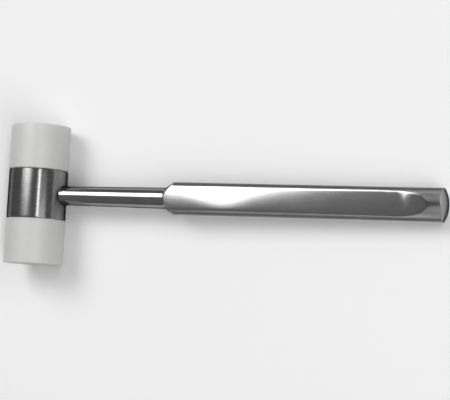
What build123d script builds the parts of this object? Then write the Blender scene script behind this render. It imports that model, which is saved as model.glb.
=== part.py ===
from build123d import *

import math
import os

# A surgical mallet that lies on its side. A short steel head carries a white nylon striking
# cap on each end, and a one-piece steel handle leaves the middle of the head at a right angle.
#
# The pieces are modelled about the handle: X runs from the head's axis to the domed end of
# the handle, Y is the head's axis, and the two milled flats of the grip face +Z and -Z.
# Then the whole mallet is pitched about Y until the head and the end of the grip both touch
# the ground, z = 0. The origin ends up on the ground, under the middle of the mallet.
# All sizes are in millimetres.

# Head: a turned steel body, a hair slimmer than its caps, with a spigot on each end for them
BODY_LENGTH = 21.1
BODY_RELIEF = 0.1
BODY_EDGE_CHAMFER = 0.3
SPIGOT_DIAMETER = 11.8
SPIGOT_LENGTH = 12.0
SPIGOT_END_CHAMFER = 1.0
UNDERCUT_DIAMETER = 9.6
UNDERCUT_LENGTH = 1.8

# Striking caps: solid nylon, screwed on over the spigots
CAP_DIAMETER = 25.4
CAP_LENGTH = 19.0
CAP_FACE_RADIUS = 0.5
CAP_BACK_CHAMFER = 0.2
CAP_BORE_CHAMFER = 1.0
CAP_BORE_SPARE_DEPTH = 1.5
SPIGOT_CLEARANCE = 0.08
CAP_SEAT_CLEARANCE = 0.05

# Neck: the round front half of the handle, pressed into a blind cross hole of the head
NECK_HEAD_DIAMETER = 8.1
NECK_GRIP_DIAMETER = 8.84
NECK_FLARE_DIAMETER = 8.5
NECK_FLARE_LENGTH = 1.6
TENON_DEPTH = 9.0
TENON_END_CHAMFER = 0.5
TENON_CLEARANCE = 0.05
TENON_END_CLEARANCE = 0.4

# Grip: the full round of the handle, from the shoulder to the domed end
GRIP_DIAMETER = 13.66
SHOULDER_START = 59.2
SHOULDER_END = 62.7
SHOULDER_ROOT_RADIUS = 2.0
SHOULDER_CREST_RADIUS = 0.5
GRIP_END = 175.7
RIM_CHAMFER = 0.35
DOME_HEIGHT = 1.6

# Flats: two parallel faces milled along the grip. A disc cutter stops at FLAT_END, and its
# radius leaves each face's blunt run-out.
ACROSS_FLATS = 9.26
FLAT_END = 157.0
FLAT_CUTTER_RADIUS = 40.0

# Sizes that follow from the ones above
CAP_RADIUS = CAP_DIAMETER / 2
BODY_RADIUS = CAP_RADIUS - BODY_RELIEF
SPIGOT_RADIUS = SPIGOT_DIAMETER / 2
GRIP_RADIUS = GRIP_DIAMETER / 2
FLARE_RADIUS = NECK_FLARE_DIAMETER / 2
CAP_SEAT_Y = BODY_LENGTH / 2 + CAP_SEAT_CLEARANCE
TENON_START = BODY_RADIUS - TENON_DEPTH


def turned_about_x(outline):
    """A solid of revolution about the handle's axis."""
    return revolve(Plane.XY * make_face(outline), axis=Axis.X)


def turned_about_y(outline):
    """A solid of revolution about the head's axis."""
    return revolve(Plane.XY * make_face(outline), axis=Axis.Y)


def head_body():
    """The steel head: one turned bar, with the blind hole that takes the handle."""
    half = BODY_LENGTH / 2
    spigot_end = half + SPIGOT_LENGTH
    undercut_end = half + UNDERCUT_LENGTH
    undercut_slope = (SPIGOT_DIAMETER - UNDERCUT_DIAMETER) / 2
    upper = [
        (BODY_RADIUS, half - BODY_EDGE_CHAMFER),
        (BODY_RADIUS - BODY_EDGE_CHAMFER, half),
        (UNDERCUT_DIAMETER / 2, half),
        (UNDERCUT_DIAMETER / 2, undercut_end),
        (SPIGOT_RADIUS, undercut_end + undercut_slope),
        (SPIGOT_RADIUS, spigot_end - SPIGOT_END_CHAMFER),
        (SPIGOT_RADIUS - SPIGOT_END_CHAMFER, spigot_end),
        (0, spigot_end),
    ]
    lower = [(x, -y) for x, y in reversed(upper)]
    bar = turned_about_y(Polyline(*upper, *lower, close=True))
    hole_bottom = TENON_START - TENON_END_CLEARANCE
    hole = Cylinder(
        FLARE_RADIUS + TENON_CLEARANCE,
        2 * BODY_RADIUS,
        rotation=(0, 90, 0),
        align=(Align.CENTER, Align.CENTER, Align.MIN),
    )
    return bar - Pos(hole_bottom, 0, 0) * hole


def striking_cap():
    """One nylon cap, as it sits on the +Y end of the head."""
    face_y = CAP_SEAT_Y + CAP_LENGTH
    bore_radius = SPIGOT_RADIUS + SPIGOT_CLEARANCE
    bore_end = BODY_LENGTH / 2 + SPIGOT_LENGTH + CAP_BORE_SPARE_DEPTH
    outline = Polyline(
        (0, bore_end),
        (bore_radius, bore_end),
        (bore_radius, CAP_SEAT_Y + CAP_BORE_CHAMFER),
        (bore_radius + CAP_BORE_CHAMFER, CAP_SEAT_Y),
        (CAP_RADIUS - CAP_BACK_CHAMFER, CAP_SEAT_Y),
        (CAP_RADIUS, CAP_SEAT_Y + CAP_BACK_CHAMFER),
        (CAP_RADIUS, face_y),
        (0, face_y),
        close=True,
    )
    cap = turned_about_y(outline)
    rim = cap.edges().filter_by(GeomType.CIRCLE).group_by(Axis.Y)[-1]
    return fillet(rim, CAP_FACE_RADIUS)


def handle_blank():
    """The handle as it leaves the lathe: tenon, flare, neck, shoulder, grip and dome."""
    tenon = Polyline(
        (TENON_START, 0),
        (TENON_START, FLARE_RADIUS - TENON_END_CHAMFER),
        (TENON_START + TENON_END_CHAMFER, FLARE_RADIUS),
        (BODY_RADIUS, FLARE_RADIUS),
    )
    neck_start = (BODY_RADIUS + NECK_FLARE_LENGTH, NECK_HEAD_DIAMETER / 2)
    neck_end = (SHOULDER_START, NECK_GRIP_DIAMETER / 2)
    neck_slope = (neck_end[0] - neck_start[0], neck_end[1] - neck_start[1])
    flare = TangentArc(neck_start, tenon @ 1, tangent=(-neck_slope[0], -neck_slope[1]))
    grip = Polyline(
        neck_start,
        neck_end,
        (SHOULDER_END, GRIP_RADIUS),
        (GRIP_END - RIM_CHAMFER, GRIP_RADIUS),
        (GRIP_END, GRIP_RADIUS - RIM_CHAMFER),
    )
    dome = ThreePointArc(*dome_points())
    axis_line = Line(dome @ 1, tenon @ 0)
    blank = turned_about_x([*tenon.edges(), flare, *grip.edges(), dome, axis_line])
    rings = blank.edges().filter_by(GeomType.CIRCLE).sort_by(Axis.X)
    root = [ring for ring in rings if abs(ring.center().X - SHOULDER_START) < 0.01]
    blank = fillet(root, SHOULDER_ROOT_RADIUS)
    rings = blank.edges().filter_by(GeomType.CIRCLE)
    crest = [ring for ring in rings if abs(ring.center().X - SHOULDER_END) < 0.01]
    return fillet(crest, SHOULDER_CREST_RADIUS)


def dome_points():
    """Start, middle and end of the dome's outline, from its rim to the handle's axis."""
    rim_radius = GRIP_RADIUS - RIM_CHAMFER
    sphere_radius = dome_sphere_radius()
    middle_angle = math.asin(rim_radius / sphere_radius) / 2
    centre_x = GRIP_END + DOME_HEIGHT - sphere_radius
    middle = (
        centre_x + sphere_radius * math.cos(middle_angle),
        sphere_radius * math.sin(middle_angle),
    )
    return (GRIP_END, rim_radius), middle, (GRIP_END + DOME_HEIGHT, 0)


def dome_sphere_radius():
    """Radius of the sphere whose cap is the handle's domed end."""
    rim_radius = GRIP_RADIUS - RIM_CHAMFER
    return (rim_radius ** 2 + DOME_HEIGHT ** 2) / (2 * DOME_HEIGHT)


def flat_cutter():
    """What the disc cutter takes away on its way along the upper flat."""
    flat_z = ACROSS_FLATS / 2
    slot = Box(
        FLAT_END - SHOULDER_START,
        GRIP_DIAMETER,
        GRIP_DIAMETER,
        align=(Align.MIN, Align.CENTER, Align.MIN),
    )
    disc = Cylinder(FLAT_CUTTER_RADIUS, GRIP_DIAMETER, rotation=(90, 0, 0))
    end_of_cut = Pos(FLAT_END, 0, flat_z + FLAT_CUTTER_RADIUS) * disc
    return Pos(SHOULDER_START, 0, flat_z) * slot + end_of_cut


def handle():
    """The finished handle: the turned blank with its two flats milled."""
    cutter = flat_cutter()
    return handle_blank() - cutter - mirror(cutter, about=Plane.XY)


def resting_place():
    """The move that lays the mallet down, with the head and the grip's rim on the ground."""
    contact_x = GRIP_END - RIM_CHAMFER
    reach = math.hypot(contact_x, GRIP_RADIUS)
    pitch = math.asin(CAP_RADIUS / reach) - math.atan2(GRIP_RADIUS, contact_x)
    sphere_radius = dome_sphere_radius()
    dome_centre = GRIP_END + DOME_HEIGHT - sphere_radius
    far_end = dome_centre * math.cos(pitch) + sphere_radius
    middle_x = (far_end - CAP_RADIUS) / 2
    return Pos(-middle_x, 0, CAP_RADIUS) * Rot(0, math.degrees(pitch), 0)


def build():
    """Make every piece, lay the mallet down and write one file per piece."""
    left_cap = striking_cap()
    pieces = {
        "head_body": head_body(),
        "handle": handle(),
        "left_cap": left_cap,
        "right_cap": mirror(left_cap, about=Plane.XZ),
    }
    os.makedirs("parts", exist_ok=True)
    place = resting_place()
    for name, piece in pieces.items():
        export_step(place * piece, f"parts/{name}.step")


build()
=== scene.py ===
"""A surgical mallet: steel head, white nylon striking caps and a knurled steel handle.

Every piece is modelled in the mallet's own axes, in millimetres: X runs from the head's
axis to the domed end of the handle, and Y is the head's axis. The resting place then
lays the piece on the ground in metres, where its CAD node lies.
"""
from __future__ import annotations

import logging
import math
from dataclasses import dataclass, field
from enum import Enum

import bmesh
import bpy
from mathutils import Matrix, Vector

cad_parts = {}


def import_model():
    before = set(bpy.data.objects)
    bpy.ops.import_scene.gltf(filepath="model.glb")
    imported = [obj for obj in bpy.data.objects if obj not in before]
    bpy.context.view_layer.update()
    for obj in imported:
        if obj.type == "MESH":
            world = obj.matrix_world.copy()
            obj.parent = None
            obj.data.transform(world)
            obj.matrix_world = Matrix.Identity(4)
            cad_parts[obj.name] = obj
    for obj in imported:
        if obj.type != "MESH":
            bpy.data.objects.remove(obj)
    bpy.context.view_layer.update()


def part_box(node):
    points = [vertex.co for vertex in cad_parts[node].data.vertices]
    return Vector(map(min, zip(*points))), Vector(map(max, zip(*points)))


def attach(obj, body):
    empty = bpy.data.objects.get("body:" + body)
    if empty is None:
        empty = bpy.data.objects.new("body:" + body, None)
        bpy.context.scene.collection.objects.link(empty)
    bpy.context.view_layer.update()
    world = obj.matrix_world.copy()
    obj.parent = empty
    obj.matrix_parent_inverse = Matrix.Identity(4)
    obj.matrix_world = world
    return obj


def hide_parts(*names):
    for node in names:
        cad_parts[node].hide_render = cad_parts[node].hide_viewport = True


LOG = logging.getLogger("mallet")
MM = 0.001
FULL_TURN = 2 * math.pi
MERGE_DISTANCE = 1e-5
SHARP_ANGLE = math.radians(30)
HEAD_RADIUS = 12.6
GRIP_RADIUS = 6.83
GROUND_CONTACT_X = 175.35
ALONG_HANDLE = Vector((1, 0, 0))
ALONG_HEAD = Vector((0, 1, 0))
UP = Vector((0, 0, 1))
Point = tuple[float, float]
Triple = tuple[float, float, float]
Material = bpy.types.Material
Object = bpy.types.Object
Socket = bpy.types.NodeSocket
BMesh = bmesh.types.BMesh


class Side(Enum):
    """The two ends of the head, as the direction along its axis."""

    LEFT = 1
    RIGHT = -1


class Finish(Enum):
    """The surface finishes of the mallet, by material name."""

    HEAD = "turned_steel"
    NECK = "polished_steel"
    FLAT = "buffed_steel"
    KNURL = "knurled_steel"
    NYLON = "white_nylon"


HANDLE_FINISHES = (Finish.NECK, Finish.KNURL, Finish.FLAT)
KNURL_NUMBER = HANDLE_FINISHES.index(Finish.KNURL)
FLAT_NUMBER = HANDLE_FINISHES.index(Finish.FLAT)


@dataclass(frozen=True)
class RestingPlace:
    """Where the mallet lies: the middle of its head and the pitch of its handle.

    Args:
        head_centre: Middle of the head, in metres.
        pitch: Angle by which the handle slopes down from the head, in radians.
    """

    head_centre: Vector
    pitch: float

    @classmethod
    def from_frame(cls, contact_x: float) -> RestingPlace:
        """Reads the place from the CAD nodes.

        Args:
            contact_x: Distance in millimetres from the head's axis to the grip's rim,
                which touches the ground.

        Returns:
            The place of the head and the pitch of the handle.
        """
        head_low, head_high = (Vector(corner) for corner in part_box("head_body"))
        cap_low, cap_high = (Vector(corner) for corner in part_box("left_cap"))
        grip_low, grip_high = (Vector(corner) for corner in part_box("handle"))
        head_centre = (head_low + head_high) / 2
        head_centre.z = (cap_high.z + cap_low.z) / 2
        grip_radius = (grip_high.y - grip_low.y) / 2
        reach = math.hypot(contact_x * MM, grip_radius)
        pitch = math.asin(head_centre.z / reach) - math.atan2(grip_radius, contact_x * MM)
        return cls(head_centre, pitch)

    def matrix(self) -> Matrix:
        """Returns the move from the mallet's axes in millimetres to the ground in metres."""
        turn = Matrix.Rotation(self.pitch, 4, "Y")
        return Matrix.Translation(self.head_centre) @ turn @ Matrix.Scale(MM, 4)


@dataclass(frozen=True)
class NodeGraph:
    """A small helper that adds and joins the nodes of a material or of the room.

    Args:
        owner: The material or world whose node tree is filled.
    """

    owner: Material | bpy.types.World

    @classmethod
    def new(cls, name: str) -> NodeGraph:
        """Starts a material.

        Args:
            name: Name of the material.

        Returns:
            The helper, with a Principled shader and an output.
        """
        material = bpy.data.materials.new(name)
        material.use_nodes = True
        return cls(material)

    def add(self, kind: str, inputs: dict | None = None, **settings: object) -> bpy.types.Node:
        """Adds a node.

        Args:
            kind: Blender's type name of the node.
            inputs: Values by input name or number; an output socket is linked.
            settings: Properties of the node.

        Returns:
            The new node.
        """
        node = self.owner.node_tree.nodes.new(kind)
        for name, value in settings.items():
            setattr(node, name, value)
        for name, value in (inputs or {}).items():
            self.feed(node, name, value)
        return node

    def feed(self, node: bpy.types.Node, name: str | int, value: object) -> None:
        """Sets or links one input.

        Args:
            node: The node that takes the value.
            name: Name or number of the input.
            value: A constant, or the output socket to link.
        """
        socket = node.inputs[name]
        if isinstance(value, Socket):
            self.owner.node_tree.links.new(value, socket)
        else:
            socket.default_value = value

    def math(self, operation: str, first: object, second: object = 0.0) -> Socket:
        """Adds a Math node.

        Args:
            operation: Name of the operation.
            first: First number or socket.
            second: Second number or socket.

        Returns:
            The result's socket.
        """
        node = self.add("ShaderNodeMath", {0: first, 1: second}, operation=operation)
        return node.outputs[0]

    def remap(self, value: Socket, start: Point, end: Point) -> Socket:
        """Maps a value linearly and clamps it.

        Args:
            value: The value's socket.
            start: Lowest value in, and what it becomes.
            end: Highest value in, and what it becomes.

        Returns:
            The mapped value's socket.
        """
        names = ("From Min", "To Min", "From Max", "To Max")
        inputs = {"Value": value, **dict(zip(names, start + end))}
        return self.add("ShaderNodeMapRange", inputs, clamp=True).outputs["Result"]

    def along_mallet(self, place: RestingPlace, stretch: Vector) -> Socket:
        """Gives coordinates in the mallet's own axes, in millimetres times a stretch.

        Args:
            place: Where the mallet lies.
            stretch: Factor along each of the mallet's axes.

        Returns:
            The coordinates' socket.
        """
        coordinates = self.add("ShaderNodeTexCoord").outputs["Object"]
        inputs = {
            "Vector": coordinates,
            "Location": place.head_centre,
            "Rotation": (0, place.pitch, 0),
            "Scale": (MM, MM, MM),
        }
        local = self.add("ShaderNodeMapping", inputs, vector_type="TEXTURE").outputs["Vector"]
        scaled = self.add("ShaderNodeVectorMath", {0: local, 1: stretch}, operation="MULTIPLY")
        return scaled.outputs["Vector"]

    def noise(self, vector: Socket, scale: float, detail: float) -> Socket:
        """Adds a noise texture.

        Args:
            vector: Coordinates.
            scale: Scale of the noise in those coordinates.
            detail: Octaves of finer noise.

        Returns:
            The noise's value, from 0 to 1.
        """
        inputs = {"Vector": vector, "Scale": scale, "Detail": detail, "Roughness": 0.6}
        return self.add("ShaderNodeTexNoise", inputs).outputs["Fac"]

    def bump(self, height: Socket, distance: float, normal: Socket | None = None) -> Socket:
        """Adds a bump.

        Args:
            height: Height, from 0 to 1.
            distance: Depth that a height of 1 stands for, in metres.
            normal: Normal of an earlier bump to build on.

        Returns:
            The bumped normal's socket.
        """
        inputs = {"Height": height, "Distance": distance, "Strength": 1.0}
        node = self.add("ShaderNodeBump", inputs)
        if normal is not None:
            self.feed(node, "Normal", normal)
        return node.outputs["Normal"]

    def shade(self, values: dict) -> Material:
        """Sets the Principled shader.

        Args:
            values: Values or sockets by input name.

        Returns:
            The finished material.
        """
        shader = self.owner.node_tree.nodes["Principled BSDF"]
        for name, value in values.items():
            self.feed(shader, name, value)
        return self.owner


@dataclass(frozen=True)
class SteelFinish:
    """A stainless steel finish: its tone, its gloss and the marks of its last tool.

    Args:
        name: Which finish it is.
        tone: Brightness of the metal where it is clean.
        tone_variation: How much the tone drops in the darkest clouds.
        roughness: Roughness where the finish is smoothest.
        mark_stretch: Frequency of the tool marks along the mallet's X, Y and Z.
        roughness_variation: How much rougher it gets in patches.
        mark_depth: Depth of the tool marks in metres.
        speck_depth: Depth of small pits in metres.
        turned_about: Axis that fine turning marks run round, if they show.
        anisotropy: How far those marks stretch a highlight along the axis.
        painted_groove_share: Share of the tone that is left at the bottom of the knurl's
            grooves: painted shade, darkest where the grooves are deepest.
        groove_radii: Distances from the handle's axis where that share and the full tone hold.
        rim_tint: Share of the reflection that is left where the metal is seen edge-on.
    """

    name: Finish
    tone: float
    tone_variation: float
    roughness: float
    mark_stretch: Triple
    roughness_variation: float = 0.03
    mark_depth: float = 0.000002
    speck_depth: float = 0.0
    turned_about: str = ""
    anisotropy: float = 0.0
    # Share of the tone left by the painted shade at the bottom of the knurl's grooves.
    painted_groove_share: float = 1.0
    groove_radii: Point = (6.62, 6.79)
    rim_tint: float = 0.1

    def material(self, place: RestingPlace) -> Material:
        """Builds the material.

        Args:
            place: Where the mallet lies.

        Returns:
            The material.
        """
        graph = NodeGraph.new(self.name.value)
        even = graph.along_mallet(place, Vector((1, 1, 1)))
        marks = graph.along_mallet(place, Vector(self.mark_stretch))
        clouds = graph.noise(even, scale=0.16, detail=4.0)
        lines = graph.noise(marks, scale=1.0, detail=3.0)
        tone_low = self.tone * (1 - self.tone_variation)
        tone = graph.remap(clouds, start=(0.35, tone_low), end=(0.62, self.tone))
        streak = graph.remap(lines, start=(0.3, 0.93), end=(0.7, 1.0))
        tone = graph.math("MULTIPLY", tone, streak)
        # Painted shade: the tone is darkened towards the bottom of the knurl's grooves.
        if self.painted_groove_share < 1:
            tone = graph.math("MULTIPLY", tone, self.paint_groove_shade(graph, even))
        colour = graph.add("ShaderNodeCombineColor", {"Red": tone, "Green": tone, "Blue": tone})
        rough_high = self.roughness + self.roughness_variation
        roughness = graph.remap(lines, start=(0.3, rough_high), end=(0.7, self.roughness))
        normal = graph.bump(lines, self.mark_depth)
        if self.speck_depth > 0:
            specks = graph.noise(even, scale=4.0, detail=1.0)
            pits = graph.remap(specks, start=(0.66, 1.0), end=(0.74, 0.0))
            normal = graph.bump(pits, self.speck_depth, normal)
        values = {
            "Base Color": colour.outputs["Color"],
            "Metallic": 1.0,
            "Roughness": roughness,
            "Specular Tint": (self.rim_tint, self.rim_tint, self.rim_tint, 1.0),
            "Normal": normal,
        }
        if self.turned_about:
            round_axis = graph.add(
                "ShaderNodeTangent", direction_type="RADIAL", axis=self.turned_about
            )
            values["Tangent"] = round_axis.outputs["Tangent"]
            values["Anisotropic"] = self.anisotropy
            values["Anisotropic Rotation"] = 0.25
        return graph.shade(values)

    def paint_groove_shade(self, graph: NodeGraph, even: Socket) -> Socket:
        """Paints shade into the grooves of the knurl, darker the nearer a point lies to the
        handle's axis.

        Args:
            graph: The material's nodes.
            even: Coordinates in the mallet's axes, in millimetres.

        Returns:
            The share of the tone that is left under the painted shade.
        """
        parts = graph.add("ShaderNodeSeparateXYZ", {0: even}).outputs
        squares = [graph.math("POWER", parts[axis], 2.0) for axis in "YZ"]
        radius = graph.math("SQRT", graph.math("ADD", *squares))
        bottom, crest = self.groove_radii
        return graph.remap(radius, start=(bottom, self.painted_groove_share), end=(crest, 1.0))


@dataclass(frozen=True)
class NylonFinish:
    """The white, slightly translucent nylon of the caps.

    Args:
        tone: Colour of the nylon.
        roughness: Roughness of the turned surface where it is smoothest.
        roughness_variation: How much rougher the turning marks make it.
        scatter_depth: How deep light goes into it, in metres.
        turning_pitch: Distance between the marks of the turning tool, in millimetres.
        ring_depth: Depth of those marks in metres.
        dent_depth: Depth of small dents in metres.
    """

    tone: Triple = (0.68, 0.68, 0.67)
    roughness: float = 0.38
    roughness_variation: float = 0.08
    scatter_depth: float = 0.004
    turning_pitch: float = 0.35
    ring_depth: float = 0.00002
    dent_depth: float = 0.00003

    def material(self, place: RestingPlace) -> Material:
        """Builds the material.

        Args:
            place: Where the mallet lies.

        Returns:
            The material.
        """
        graph = NodeGraph.new(Finish.NYLON.value)
        even = graph.along_mallet(place, Vector((1, 1, 1)))
        turned = graph.along_mallet(place, Vector((0.02, 1 / self.turning_pitch, 0.02)))
        clouds = graph.noise(even, scale=0.12, detail=3.0)
        rings = graph.noise(turned, scale=1.0, detail=2.0)
        grime = graph.remap(clouds, start=(0.3, 0.95), end=(0.7, 1.0))
        tone = graph.add(
            "ShaderNodeVectorMath", {0: self.tone, "Scale": grime}, operation="SCALE"
        )
        dimples = graph.noise(even, scale=0.7, detail=2.0)
        dents = graph.remap(dimples, start=(0.3, 0.0), end=(0.45, 1.0))
        normal = graph.bump(rings, self.ring_depth)
        normal = graph.bump(dents, self.dent_depth, normal)
        rough_high = self.roughness + self.roughness_variation
        roughness = graph.remap(rings, start=(0.3, rough_high), end=(0.7, self.roughness))
        return graph.shade(
            {
                "Base Color": tone.outputs["Vector"],
                "Roughness": roughness,
                "Subsurface Weight": 0.6,
                "Subsurface Radius": (1.0, 1.0, 0.95),
                "Subsurface Scale": self.scatter_depth,
                "IOR": 1.53,
                "Normal": normal,
            }
        )


@dataclass
class Wardrobe:
    """All the mallet's finishes, made once.

    Args:
        place: Where the mallet lies.
        head: The head's turned steel.
        neck: The polished steel of the neck and the dome.
        flat: The buffed steel of the flats.
        knurl: The knurled steel of the grip.
        nylon: The caps' nylon.
        made: The materials, by finish.
    """

    place: RestingPlace
    head: SteelFinish = SteelFinish(
        name=Finish.HEAD,
        tone=0.27,
        tone_variation=0.15,
        roughness=0.26,
        roughness_variation=0.04,
        mark_stretch=(0.5, 9.0, 0.5),
        mark_depth=0.0000015,
        speck_depth=0.000006,
        turned_about="Y",
        anisotropy=0.92,
    )
    neck: SteelFinish = SteelFinish(
        name=Finish.NECK,
        tone=0.36,
        tone_variation=0.08,
        roughness=0.12,
        mark_stretch=(0.25, 5.0, 5.0),
    )
    flat: SteelFinish = SteelFinish(
        name=Finish.FLAT,
        tone=0.39,
        tone_variation=0.05,
        roughness=0.1,
        mark_stretch=(0.35, 4.5, 4.5),
        speck_depth=0.000003,
    )
    knurl: SteelFinish = SteelFinish(
        name=Finish.KNURL,
        tone=0.62,
        tone_variation=0.12,
        roughness=0.2,
        roughness_variation=0.06,
        mark_stretch=(1.5, 1.5, 1.5),
        # Painted shade in the knurl's grooves, down to this share of the tone.
        painted_groove_share=0.05,
    )
    nylon: NylonFinish = NylonFinish()
    made: dict[Finish, Material] = field(default_factory=dict)

    def __post_init__(self) -> None:
        """Builds each material."""
        for finish in (self.head, self.neck, self.flat, self.knurl):
            self.made[finish.name] = finish.material(self.place)
        self.made[Finish.NYLON] = self.nylon.material(self.place)


def turned(outline: list[Point], axis: Vector, across: Vector, steps: int) -> BMesh:
    """Turns an outline about an axis through the origin, as a lathe does.

    Args:
        outline: Points as distance along the axis and radius, from one end to the other.
        axis: Direction of the axis.
        across: Direction in which the outline's radius is drawn.
        steps: Number of segments round the axis.

    Returns:
        The closed surface of revolution.
    """
    shape = bmesh.new()
    points = [shape.verts.new(axis * along + across * radius) for along, radius in outline]
    edges = [shape.edges.new(pair) for pair in zip(points, points[1:])]
    bmesh.ops.spin(
        shape, geom=points + edges, axis=axis, angle=FULL_TURN, steps=steps, use_merge=True
    )
    bmesh.ops.remove_doubles(shape, verts=shape.verts, dist=MERGE_DISTANCE)
    bmesh.ops.recalc_face_normals(shape, faces=shape.faces)
    return shape


def arc(centre: Point, radius: float, start: float, end: float, steps: int) -> list[Point]:
    """Gives the points of an arc in an outline.

    Args:
        centre: Centre of the arc.
        radius: Its radius.
        start: Angle of its first point in degrees.
        end: Angle of its last point in degrees.
        steps: Number of spans.

    Returns:
        The points, ends included.
    """
    angles = [math.radians(start + (end - start) * step / steps) for step in range(steps + 1)]
    return [
        (centre[0] + radius * math.cos(angle), centre[1] + radius * math.sin(angle))
        for angle in angles
    ]


@dataclass
class ScrewThread:
    """A V thread with flattened crests, about the head's axis.

    Args:
        crest_radius: Radius of the thread where it is widest, in millimetres.
        root_radius: Radius where it is narrowest.
        runout: Length over which it fades at each end.
        pitch: Distance between turns.
        steps_per_pitch: Rings along one pitch.
        flank_slope: Steepness of the flanks; above 1 the crests are flat.
        flank_drop: How far the flanks are sunk, which makes the roots flat.
        slack: How far beyond its widest a point still belongs to the thread.
    """

    crest_radius: float
    root_radius: float
    runout: float
    pitch: float = 1.5
    steps_per_pitch: int = 10
    flank_slope: float = 1.35
    flank_drop: float = 0.15
    slack: float = 0.2

    def radius(self, along: float, angle: float) -> float:
        """Gives the radius of the thread's surface.

        Args:
            along: Distance along the head's axis.
            angle: Angle round it in radians.

        Returns:
            The radius in millimetres.
        """
        phase = (along / self.pitch - angle / FULL_TURN) % 1.0
        rise = 1.0 - abs(2.0 * phase - 1.0)
        rise = min(max(self.flank_slope * rise - self.flank_drop, 0.0), 1.0)
        return self.root_radius + (self.crest_radius - self.root_radius) * rise

    def rings(self, start: float, end: float) -> list[float]:
        """Returns the places of the rings between two ends of the thread."""
        count = max(2, round(abs(end - start) / self.pitch * self.steps_per_pitch))
        return [start + (end - start) * step / count for step in range(count + 1)]

    def cut(self, shape: BMesh, start: float, end: float) -> None:
        """Cuts the thread into a turned surface between two places.

        Args:
            shape: The turned surface, with rings between the two places.
            start: Where the thread starts, lowest along the head's axis.
            end: Where it ends.
        """
        limit = self.crest_radius + self.slack
        for vert in shape.verts:
            distance = math.hypot(vert.co.x, vert.co.z)
            if not start - MERGE_DISTANCE <= vert.co.y <= end + MERGE_DISTANCE:
                continue
            if not limit / 2 <= distance <= limit:
                continue
            angle = math.atan2(vert.co.x, vert.co.z)
            depth = self.radius(vert.co.y, angle) - self.crest_radius
            to_end = min(vert.co.y - start, end - vert.co.y)
            fade = min(1.0, to_end / self.runout)
            factor = (distance + depth * max(fade, 0.0)) / distance
            vert.co.x *= factor
            vert.co.z *= factor


def finish_mesh(
    shape: BMesh, name: str, place: RestingPlace, materials: list[Material]
) -> Object:
    """Makes an object of a modelled shape and lays it down with the mallet.

    Args:
        shape: The shape in the mallet's axes, in millimetres; it is freed.
        name: Name of the object.
        place: Where the mallet lies.
        materials: Materials in the order of the faces' numbers.

    Returns:
        The object, in the scene.
    """
    shape.transform(place.matrix())
    mesh = bpy.data.meshes.new(name)
    shape.to_mesh(mesh)
    shape.free()
    for material in materials:
        mesh.materials.append(material)
    mesh.set_sharp_from_angle(angle=SHARP_ANGLE)
    piece = bpy.data.objects.new(name, mesh)
    bpy.context.scene.collection.objects.link(piece)
    return piece


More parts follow.
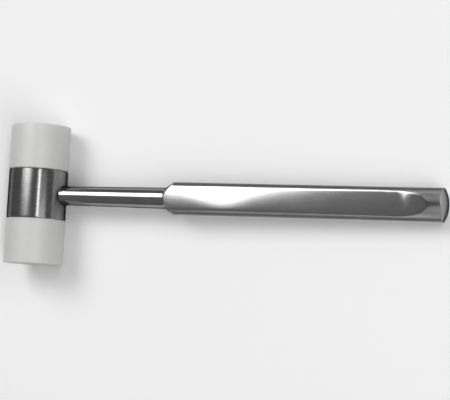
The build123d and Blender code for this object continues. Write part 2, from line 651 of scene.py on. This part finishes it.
@dataclass
class Head:
    """The turned steel head with its threaded spigots and the handle's hole.

    Args:
        wardrobe: The finishes.
        radius: Radius of the body.
        length: Length of the body between the caps.
        edge_chamfer: Chamfer on both edges of the body.
        roll_off: Length and drop of the roll-off beside each chamfer, as shares of it.
        undercut_radius: Radius of the groove at each spigot's root.
        undercut_length: Length of that groove.
        root_rounding: Rounding between that groove and the body.
        thread: Thread of the spigots.
        spigot_length: Length of each spigot.
        spigot_chamfer: Chamfer on each spigot's end.
        hole_radius: Radius of the handle's hole.
        hole_bottom: Distance from the head's axis to the hole's bottom.
        steps: Segments round the head.
    """

    wardrobe: Wardrobe
    radius: float = HEAD_RADIUS
    length: float = 21.1
    edge_chamfer: float = 0.3
    roll_off: Point = (2.5, 0.33)
    undercut_radius: float = 4.8
    undercut_length: float = 1.8
    root_rounding: float = 0.4
    thread: ScrewThread = field(
        default_factory=lambda: ScrewThread(crest_radius=5.9, root_radius=4.95, runout=0.6)
    )
    spigot_length: float = 12.0
    spigot_chamfer: float = 1.0
    hole_radius: float = 4.3
    hole_bottom: float = 3.2
    steps: int = 216

    def thread_span(self) -> Point:
        """Tells where the +Y spigot's thread lies.

        Returns:
            Its start and end, from the head's middle.
        """
        half = self.length / 2
        start = half + self.undercut_length + self.thread.crest_radius - self.undercut_radius
        return start, half + self.spigot_length - self.spigot_chamfer

    def outline(self) -> list[Point]:
        """Draws half the outline of the bar.

        Returns:
            Its points, from the bar's middle to the +Y end.
        """
        half = self.length / 2
        chamfer = self.edge_chamfer
        roll_length, roll_drop = self.roll_off
        rounding = self.root_rounding
        root = self.undercut_radius + rounding
        spigot = self.thread.crest_radius
        end = half + self.spigot_length
        points = [(0.0, self.radius), (half - roll_length * chamfer, self.radius)]
        points += [(half - chamfer, self.radius - roll_drop * chamfer)]
        points += [(half, self.radius - chamfer), (half, root)]
        points += arc((half + rounding, root), rounding, start=180, end=270, steps=4)[1:]
        points += [(half + self.undercut_length, self.undercut_radius)]
        points += [(along, spigot) for along in self.thread.rings(*self.thread_span())]
        points += [(end, spigot - self.spigot_chamfer), (end, 0.0)]
        return points

    def bar(self) -> BMesh:
        """Turns the bar and cuts its threads.

        Returns:
            The bar, in the mallet's axes.
        """
        half_outline = self.outline()
        mirrored = [(-along, radius) for along, radius in reversed(half_outline[1:])]
        shape = turned(mirrored + half_outline, ALONG_HEAD, UP, self.steps)
        start, end = self.thread_span()
        self.thread.cut(shape, start, end)
        self.thread.cut(shape, -end, -start)
        return shape

    def drill(self) -> BMesh:
        """Models what the drill takes away for the handle's hole.

        Returns:
            The drill's solid, in the mallet's axes.
        """
        drill = bmesh.new()
        bmesh.ops.create_cone(
            drill,
            cap_ends=True,
            segments=128,
            radius1=self.hole_radius,
            radius2=self.hole_radius,
            depth=2 * self.radius,
        )
        middle = Matrix.Translation((self.hole_bottom + self.radius, 0, 0))
        drill.transform(middle @ Matrix.Rotation(math.pi / 2, 4, "Y"))
        return drill

    def build(self) -> Object:
        """Builds the head.

        Returns:
            The head's object, in place.
        """
        place = self.wardrobe.place
        materials = [self.wardrobe.made[Finish.HEAD]]
        head = finish_mesh(self.bar(), "steel_head", place, materials)
        cutter = finish_mesh(self.drill(), "drill", place, materials)
        hole = head.modifiers.new("handle_hole", "BOOLEAN")
        hole.operation = "DIFFERENCE"
        hole.solver = "EXACT"
        hole.object = cutter
        solid = bpy.data.meshes.new_from_object(
            head.evaluated_get(bpy.context.evaluated_depsgraph_get())
        )
        head.modifiers.clear()
        head.data = solid
        bpy.data.objects.remove(cutter)
        solid.set_sharp_from_angle(angle=SHARP_ANGLE)
        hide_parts("head_body")
        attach(head, "mallet")
        return head


@dataclass
class StrikingCap:
    """A solid nylon cap, turned outside and threaded inside.

    Args:
        wardrobe: The finishes.
        side: Which end of the head it is on.
        radius: Outer radius.
        seat: Distance from the middle of the head to the cap's back.
        length: Length of the cap.
        face_radius: Rounding of the striking face's edge.
        back_chamfer: Chamfer of the back's outer edge.
        bore_depth: Depth of the bore from the back.
        plain_bottom: Length of the bore without thread, at its bottom.
        thread: Thread of the bore, whose ridges point inwards: it is widest at the wall.
        bore_chamfer: Chamfer at the bore's mouth.
        steps: Segments round the cap.
    """

    wardrobe: Wardrobe
    side: Side
    radius: float = 12.7
    seat: float = 10.6
    length: float = 19.0
    face_radius: float = 0.5
    back_chamfer: float = 0.2
    bore_depth: float = 13.45
    plain_bottom: float = 0.3
    thread: ScrewThread = field(
        default_factory=lambda: ScrewThread(crest_radius=5.98, root_radius=5.03, runout=0.4)
    )
    bore_chamfer: float = 1.0
    steps: int = 216

    def outline(self) -> list[Point]:
        """Draws the cap's outline.

        Returns:
            Its points, from the bore's bottom round to the striking face.
        """
        bore = self.thread.crest_radius
        thread_start, thread_end = self.thread_span()
        face = self.seat + self.length
        bottom = self.seat + self.bore_depth
        edge = self.face_radius
        points = [(bottom, 0.0), (bottom, bore)]
        points += [(along, bore) for along in self.thread.rings(thread_end, thread_start)]
        points += [(self.seat, bore + self.bore_chamfer)]
        points += [(self.seat, self.radius - self.back_chamfer)]
        points += [(self.seat + self.back_chamfer, self.radius)]
        points += arc((face - edge, self.radius - edge), edge, start=90, end=0, steps=8)
        points += [(face, self.radius * share) for share in (0.75, 0.5, 0.25, 0.0)]
        return points

    def thread_span(self) -> Point:
        """Returns where the bore's thread starts and ends, from the middle of the head."""
        return self.seat + self.bore_chamfer, self.seat + self.bore_depth - self.plain_bottom

    def build(self) -> Object:
        """Builds the cap.

        Returns:
            The cap's object, in place.
        """
        shape = turned(self.outline(), ALONG_HEAD, UP, self.steps)
        self.thread.cut(shape, *self.thread_span())
        if self.side is Side.RIGHT:
            bmesh.ops.rotate(
                shape, verts=shape.verts, cent=(0, 0, 0), matrix=Matrix.Rotation(math.pi, 3, "Z")
            )
        node = f"{self.side.name.lower()}_cap"
        materials = [self.wardrobe.made[Finish.NYLON]]
        cap = finish_mesh(shape, f"nylon_{node}", self.wardrobe.place, materials)
        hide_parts(node)
        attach(cap, node)
        return cap


@dataclass
class Knurl:
    """The diamond knurl that is rolled into the grip.

    Args:
        start: Where it starts along the handle.
        end: Where it ends.
        pitch: Length of one diamond along the handle.
        count: Number of diamonds round the handle.
        depth: Depth of the grooves.
        crest: Height, from 0 to 1, at which the diamonds are flattened.
        runout: Length over which the grooves fade at each end.
        least_fold: Bow from which a face is split along a groove.
        steps: Rings along one diamond.
    """

    start: float = 62.95
    end: float = 175.2
    pitch: float = 1.25
    count: int = 36
    depth: float = 0.25
    crest: float = 2 / 3
    runout: float = 0.4
    least_fold: float = 0.005
    steps: int = 6

    def rings(self) -> list[float]:
        """Returns the places of the rings along the handle."""
        whole = round((self.end - self.start) / self.pitch * self.steps)
        return [self.start + self.pitch * step / self.steps for step in range(whole + 1)]

    def groove(self, along: float, angle: float) -> float:
        """Gives the depth of the knurl at a point.

        Args:
            along: Distance along the handle from the knurl's start.
            angle: Angle round the handle in radians.

        Returns:
            How far the surface lies below the crests, in millimetres.
        """
        first = along / self.pitch + angle * self.count / FULL_TURN
        second = along / self.pitch - angle * self.count / FULL_TURN
        rise = min(1 - abs(2 * (value % 1.0) - 1) for value in (first, second))
        return self.depth * (1 - min(rise, self.crest) / self.crest)


@dataclass
class GripFlat:
    """One of the two faces that are milled along the grip and buffed.

    Args:
        height: Height of the flat above the handle's axis.
        grip_radius: Radius of the grip, where the flat's edges are.
        end: Where the milling cutter stopped.
        cutter_radius: Radius of the disc cutter, which shapes the flat's run-out.
        crown: Radius of the crown that buffing leaves across the flat.
        lean: Slope across the flat, away from the place where it lies level.
        level_place: That place along the handle.
        level_length: Distance over which the lean sets in.
        end_lean: Further slope across the run-out.
        end_lean_margin: Distance before the run-out where that slope starts.
        end_lean_length: Distance over which it sets in.
        edge_drop: How far buffing rounds the flat's edges off.
        edge_width: Distance over which the edges are rounded.
        plain_margin: Distance from the edges beyond which the flat takes a coarse mesh.
        wave_height: Height of the slow waves along the flat.
        waves: Lengths over which the two waves that make them up turn by one radian.
        wave_fade: Distance before the run-out over which they fade.
    """

    height: float = 4.63
    grip_radius: float = GRIP_RADIUS
    end: float = 157.0
    cutter_radius: float = 40.0
    crown: float = 170.0
    lean: float = 0.016
    level_place: float = 86.0
    level_length: float = 11.0
    end_lean: float = 0.03
    end_lean_margin: float = 4.0
    end_lean_length: float = 6.0
    edge_drop: float = 0.09
    edge_width: float = 0.22
    plain_margin: float = 0.6
    wave_height: float = 0.012
    waves: Point = (8.0, 27.0)
    wave_fade: float = 12.0

    def surface(self, along: float, across: float) -> float:
        """Gives the height of the flat above the handle's axis.

        Args:
            along: Distance along the handle.
            across: Distance across the flat from its middle.

        Returns:
            The height in millimetres.
        """
        past = max(along - self.end, 0.0)
        rise = self.cutter_radius - math.sqrt(self.cutter_radius ** 2 - past * past)
        crown = -across * across / (2 * self.crown)
        from_level = (along - self.level_place) / self.level_length
        lean = self.lean * across * (1 - math.exp(-from_level * from_level))
        share = (along - self.end + self.end_lean_margin) / self.end_lean_length
        lean += self.end_lean * across * min(max(share, 0.0), 1.0)
        level = self.height + rise + crown
        to_edge = max(self.grip_radius - math.hypot(across, level), 0.0)
        rounding = self.edge_drop * math.exp(-to_edge / self.edge_width)
        short, long = self.waves
        wave = math.sin(along / short) * math.cos(along / long)
        fade = min(1.0, max(0.0, (self.end - along) / self.wave_fade))
        return level - rounding + lean + fade * self.wave_height * wave

    def divisions(self, start: float) -> tuple[list[float], list[float]]:
        """Tells where the flat's mesh is divided, finely at its two ends.

        Args:
            start: Where the flat starts along the handle.

        Returns:
            The places along the handle and across the flat.
        """
        tip_step, tip_length, middle_step, fine_step, end_margin = 0.4, 3.6, 1.7, 0.75, 3.0
        along = [start + tip_step * step for step in range(1, 10)]
        along += [start + tip_length + middle_step * step for step in range(1, 54)]
        along += [self.end - end_margin + fine_step * step for step in range(24)]
        return along, [fine_step * step for step in range(-6, 7)]


@dataclass
class Handle:
    """The one-piece steel handle: neck, shoulder, knurled grip, flats and dome.

    Args:
        wardrobe: The finishes.
        tenon_start: Inner end of the tenon, from the head's axis.
        tenon_chamfer: Chamfer of that end.
        flare_radius: Radius of the tenon and of the neck where it leaves the head.
        flare_inset: How far inside the head's surface the neck starts to narrow.
        head_radius: Radius of the head's body.
        flare_length: Length over which the neck narrows from that radius.
        neck_radii: Radius of the neck at its two ends.
        shoulder: Where the shoulder starts and ends.
        root_radius: Inner rounding at the shoulder's foot.
        crest_rounding: Length of the rounding at the shoulder's crest.
        crest_before: Place and drop of its point before the crest, as shares of it.
        crest_past: The same past the crest.
        grip_radius: Radius of the grip over the knurl's crests.
        rim_x: Where the grip's rim ends.
        rim_chamfer: Chamfer of the rim.
        dome_height: Height of the domed end.
        knurl: The knurl.
        flat: The flats.
        steps: Segments round the handle, a multiple of the knurl's count.
    """

    wardrobe: Wardrobe
    tenon_start: float = 3.6
    tenon_chamfer: float = 0.5
    flare_radius: float = 4.25
    flare_inset: float = 0.7
    head_radius: float = HEAD_RADIUS
    flare_length: float = 1.6
    neck_radii: Point = (4.05, 4.42)
    shoulder: Point = (59.2, 62.7)
    root_radius: float = 2.0
    crest_rounding: float = 0.35
    crest_before: Point = (0.3, 0.22)
    crest_past: Point = (0.25, 0.03)
    grip_radius: float = GRIP_RADIUS
    rim_x: float = 175.7
    rim_chamfer: float = 0.35
    dome_height: float = 1.6
    knurl: Knurl = field(default_factory=Knurl)
    flat: GripFlat = field(default_factory=GripFlat)
    steps: int = 216

    def neck_outline(self) -> list[Point]:
        """Draws the outline from the tenon's end to the shoulder's crest.

        Returns:
            Its points.
        """
        flare_end = self.head_radius + self.flare_length
        points = [(self.tenon_start, 0.0)]
        points += [(self.tenon_start, self.flare_radius - self.tenon_chamfer)]
        points += [(self.tenon_start + self.tenon_chamfer, self.flare_radius)]
        flare_steps = 8
        drop = self.flare_radius - self.neck_radii[0]
        for step in range(flare_steps + 1):
            share = step / flare_steps
            along = self.head_radius - self.flare_inset
            along += (self.flare_length + self.flare_inset) * share
            points.append((along, self.flare_radius - drop * (1 - (1 - share) ** 2)))
        start, end = self.shoulder
        slope = math.atan2(self.grip_radius - self.neck_radii[1], end - start)
        rise = (self.neck_radii[1] - self.neck_radii[0]) / (start - flare_end)
        tangent = self.root_radius * math.tan((slope - math.atan(rise)) / 2)
        centre = (start - tangent, self.neck_radii[1] + self.root_radius)
        slope_end = -90 + math.degrees(slope)
        points += arc(centre, self.root_radius, start=-90, end=slope_end, steps=10)
        crest = self.crest_rounding
        before, before_drop = self.crest_before
        past, past_drop = self.crest_past
        points += [
            (end - crest * math.cos(slope), self.grip_radius - crest * math.sin(slope)),
            (end - before * crest * math.cos(slope), self.grip_radius - before_drop * crest),
            (end + past * crest, self.grip_radius - past_drop * crest),
        ]
        return points

    def dome_outline(self) -> list[Point]:
        """Draws the outline of the rim and the dome.

        Returns:
            Its points, to the handle's axis.
        """
        rim = self.grip_radius - self.rim_chamfer
        sphere = (rim ** 2 + self.dome_height ** 2) / (2 * self.dome_height)
        half_angle = math.degrees(math.asin(rim / sphere))
        centre = (self.rim_x + self.dome_height - sphere, 0.0)
        points = [(self.rim_x - self.rim_chamfer, self.grip_radius)]
        points += arc(centre, sphere, start=half_angle, end=0, steps=14)
        points[-1] = (points[-1][0], 0.0)
        return points

    def blank(self) -> BMesh:
        """Turns the handle and rolls its knurl.

        Returns:
            The handle before its flats are milled.
        """
        rings = [(along, self.grip_radius) for along in self.knurl.rings()]
        outline = self.neck_outline() + rings + self.dome_outline()
        shape = turned(outline, ALONG_HANDLE, UP, self.steps)
        self.roll_knurl(shape)
        return shape

    def roll_knurl(self, shape: BMesh) -> None:
        """Presses the knurl's grooves into the grip.

        Args:
            shape: The turned handle.
        """
        start = self.knurl.start
        last = self.knurl.rings()[-1]
        for vert in shape.verts:
            if not start <= vert.co.x <= last:
                continue
            angle = math.atan2(vert.co.y, vert.co.z)
            radius = self.grip_radius
            to_end = min(vert.co.x - start, last - vert.co.x)
            fade = min(1.0, to_end / self.knurl.runout)
            depth = self.knurl.groove(vert.co.x - start, angle)
            factor = (radius - depth * fade) / radius
            vert.co.y *= factor
            vert.co.z *= factor
        for face in shape.faces:
            if start < face.calc_center_median().x < last:
                face.material_index = KNURL_NUMBER
        self.fold_grooves(shape)

    def fold_grooves(self, shape: BMesh) -> None:
        """Splits each face that a groove crosses along the groove.

        Args:
            shape: The turned handle.
        """
        bowed = []
        for face in shape.faces:
            if face.material_index != KNURL_NUMBER or len(face.verts) != 4:
                continue
            radii = [math.hypot(vert.co.y, vert.co.z) for vert in face.verts]
            first = radii[0] + radii[2]
            second = radii[1] + radii[3]
            if abs(first - second) > self.knurl.least_fold:
                bowed.append((face, 0 if first < second else 1))
        for face, corner in bowed:
            bmesh.utils.face_split(face, face.verts[corner], face.verts[corner + 2])

    def mill_flat(self, shape: BMesh, up: int) -> None:
        """Mills one flat.

        The grip is first bent so that the flat's surface is level. There it is cut by a
        plane, what stands above the plane is pressed down to it, and it is bent back.

        Args:
            shape: The turned handle.
            up: 1 for the upper flat, -1 for the lower one.
        """
        for vert in shape.verts:
            vert.co.z -= up * self.flat.surface(vert.co.x, vert.co.y)
        geometry = [*shape.verts, *shape.edges, *shape.faces]
        bmesh.ops.bisect_plane(
            shape, geom=geometry, dist=MERGE_DISTANCE, plane_co=(0, 0, 0), plane_no=UP * up
        )
        for vert in shape.verts:
            if up * vert.co.z > 0:
                vert.co.z = 0
        level = 10 * MERGE_DISTANCE
        milled = [
            face for face in shape.faces if all(abs(vert.co.z) < level for vert in face.verts)
        ]
        for face in milled:
            face.material_index = FLAT_NUMBER
        inner = [face for face in milled if all(map(self.is_inside_flat, face.verts))]
        self.divide_flat(shape, bmesh.ops.dissolve_faces(shape, faces=inner)["region"])
        for vert in shape.verts:
            vert.co.z += up * self.flat.surface(vert.co.x, vert.co.y)

    def is_inside_flat(self, vert: bmesh.types.BMVert) -> bool:
        """Tells whether a point of a levelled flat is clear of the flat's rounded edge."""
        height = self.flat.surface(vert.co.x, vert.co.y)
        return self.grip_radius - math.hypot(vert.co.y, height) > self.flat.plain_margin

    def divide_flat(self, shape: BMesh, faces: list[bmesh.types.BMFace]) -> None:
        """Divides a levelled flat so that it can follow its own surface.

        Args:
            shape: The handle.
            faces: The large faces to divide.
        """
        along, across = self.flat.divisions(self.shoulder[0])
        cuts = [(ALONG_HANDLE * place, ALONG_HANDLE) for place in along]
        cuts += [(ALONG_HEAD * place, ALONG_HEAD) for place in across]
        edges = {edge for face in faces for edge in face.edges}
        verts = {vert for face in faces for vert in face.verts}
        geometry = [*faces, *edges, *verts]
        for point, normal in cuts:
            geometry = bmesh.ops.bisect_plane(
                shape, geom=geometry, dist=MERGE_DISTANCE, plane_co=point, plane_no=normal
            )["geom"]

    def build(self) -> Object:
        """Builds the handle.

        Returns:
            The handle's object, in place.
        """
        shape = self.blank()
        self.mill_flat(shape, 1)
        self.mill_flat(shape, -1)
        for face in shape.faces:
            face.smooth = face.material_index != KNURL_NUMBER
        for edge in shape.edges:
            numbers = {face.material_index for face in edge.link_faces}
            edge.smooth = len(numbers) == 1
        bmesh.ops.recalc_face_normals(shape, faces=shape.faces)
        materials = [self.wardrobe.made[finish] for finish in HANDLE_FINISHES]
        handle = finish_mesh(shape, "steel_handle", self.wardrobe.place, materials)
        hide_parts("handle")
        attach(handle, "mallet")
        return handle


@dataclass(frozen=True)
class SoftBox:
    """A rectangular studio lamp that faces the mallet.

    Args:
        name: Name of the lamp.
        direction: Direction of the lamp in the mallet's axes.
        spread: Its width and height as seen from the mallet, in degrees.
        radiance: Its brightness, where 1 renders white.
        roll: Turn about its own axis in degrees.
        distance: Its distance in metres.
    """

    name: str
    direction: Triple
    spread: Point
    radiance: float
    roll: float = 0.0
    distance: float = 1.5

    def build(self, target: Matrix) -> None:
        """Makes the lamp.

        Args:
            target: The point that it faces, with the mallet's axes.
        """
        light = bpy.data.lights.new(self.name, "AREA")
        light.shape = "RECTANGLE"
        halves = [math.tan(math.radians(angle / 2)) for angle in self.spread]
        light.size, light.size_y = (2 * self.distance * half for half in halves)
        light.energy = self.radiance * math.pi * light.size * light.size_y
        lamp = bpy.data.objects.new(self.name, light)
        towards = (target.to_3x3() @ Vector(self.direction)).normalized()
        side = target.to_3x3() @ Vector((1, 0, 0))
        side = (side - side.dot(towards) * towards).normalized()
        facing = Matrix((side, towards.cross(side), towards)).transposed().to_4x4()
        roll = Matrix.Rotation(math.radians(self.roll), 4, "Z")
        place = Matrix.Translation(target.translation + towards * self.distance)
        lamp.matrix_world = place @ facing @ roll
        bpy.context.scene.collection.objects.link(lamp)


@dataclass
class Studio:
    """The pale floor, the lamps and the camera of the photograph.

    Args:
        place: Where the mallet lies.
        camera_from_head: Camera's place from the head's middle, in the mallet's axes, in mm.
        camera_turns: Turns of the camera about the mallet's X, Y and Z, in radians.
        focal_length: Focal length in millimetres for a sensor 36 mm wide.
        lit_middle: The point of the handle that the lamps face, from the head's axis, in mm.
        floor_tone: Tone of the floor as it lights the mallet.
        floor_seen_tone: Tone of the floor as it is seen, directly or mirrored.
        overhead: Brightness of the room overhead.
        horizon: Brightness of the room near the ground.
        horizon_height: Height up to which the room is that dim, where 1 is overhead.
        lamps: The lamps.
    """

    place: RestingPlace
    camera_from_head: Triple = (276.859, -52.479, 574.505)
    camera_turns: Triple = (-0.09093, 0.32123, 0.02496)
    focal_length: float = 118.3
    lit_middle: float = 87.0
    floor_tone: float = 0.6
    floor_seen_tone: float = 0.97
    overhead: float = 0.24
    horizon: float = 0.2
    horizon_height: float = 0.2
    lamps: tuple[SoftBox, ...] = (
        SoftBox("key_lamp", (-0.470, 0.462, 1.0), spread=(33.9, 27.6), radiance=4.7, roll=-42.6),
        SoftBox("strip_lamp", (0.50, 0.10, 1.0), spread=(5.0, 60.0), radiance=8.2),
        SoftBox("side_lamp", (0.95, -0.55, 1.0), spread=(30.0, 30.0), radiance=2.6),
    )

    def camera(self) -> None:
        """Places the camera as in the photograph."""
        data = bpy.data.cameras.new("camera")
        data.sensor_width = 36.0
        data.lens = self.focal_length
        data.clip_start = 0.01
        data.clip_end = 20.0
        camera = bpy.data.objects.new("camera", data)
        turn_x, turn_y, turn_z = self.camera_turns
        turns = Matrix.Rotation(turn_z, 3, "Z") @ Matrix.Rotation(turn_y, 3, "Y")
        turns = turns @ Matrix.Rotation(turn_x, 3, "X")
        looking_down = Matrix(((1, 0, 0), (0, -1, 0), (0, 0, -1)))
        rows = turns @ looking_down
        axes = Matrix((rows[0], -rows[1], -rows[2])).transposed().to_4x4()
        stand = Matrix.Translation(self.camera_from_head) @ axes
        world = self.place.matrix() @ stand
        place, turn, _ = world.decompose()
        camera.matrix_world = Matrix.LocRotScale(place, turn, Vector((1, 1, 1)))
        bpy.context.scene.collection.objects.link(camera)
        bpy.context.scene.camera = camera

    def floor(self) -> None:
        """Lays the plain pale floor."""
        shape = bmesh.new()
        bmesh.ops.create_grid(shape, x_segments=1, y_segments=1, size=6.0)
        mesh = bpy.data.meshes.new("floor")
        shape.to_mesh(mesh)
        shape.free()
        graph = NodeGraph.new("pale_floor")
        path = graph.add("ShaderNodeLightPath").outputs
        seen = graph.math("MAXIMUM", path["Is Camera Ray"], path["Is Glossy Ray"])
        seen = graph.math("MAXIMUM", seen, path["Is Transmission Ray"])
        tone = graph.remap(seen, (0.0, self.floor_tone), (1.0, self.floor_seen_tone))
        graph.shade({"Base Color": tone, "Roughness": 0.9, "Specular IOR Level": 0.0})
        mesh.materials.append(graph.owner)
        floor = bpy.data.objects.new("floor", mesh)
        bpy.context.scene.collection.objects.link(floor)

    def room(self) -> None:
        """Sets the room's even light, which is dimmer near the ground."""
        world = bpy.data.worlds.new("room")
        world.use_nodes = True
        graph = NodeGraph(world)
        generated = graph.add("ShaderNodeTexCoord").outputs["Generated"]
        height = graph.add("ShaderNodeSeparateXYZ", {0: generated}).outputs["Z"]
        low = (self.horizon_height, self.horizon)
        strength = graph.remap(height, start=low, end=(1.0, self.overhead))
        background = world.node_tree.nodes["Background"]
        graph.feed(background, "Color", (1, 1, 1, 1))
        graph.feed(background, "Strength", strength)
        bpy.context.scene.world = world

    def build(self) -> None:
        """Sets up the whole studio."""
        self.camera()
        self.floor()
        self.room()
        target = self.place.matrix() @ Matrix.Translation((self.lit_middle, 0, 0))
        for lamp in self.lamps:
            lamp.build(target)
        bpy.context.scene.view_settings.view_transform = "Standard"


def main() -> None:
    """Builds the mallet and its studio."""
    logging.basicConfig(level=logging.INFO, format="%(name)s: %(message)s")
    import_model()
    place = RestingPlace.from_frame(GROUND_CONTACT_X)
    LOG.info("pitch %.3f degrees", math.degrees(place.pitch))
    wardrobe = Wardrobe(place)
    caps = [StrikingCap(wardrobe, side) for side in Side]
    for assembly in (Head(wardrobe), Handle(wardrobe), *caps):
        piece = assembly.build()
        LOG.info("%s: %d faces", piece.name, len(piece.data.polygons))
    Studio(place).build()


if __name__ == "__main__":
    main()
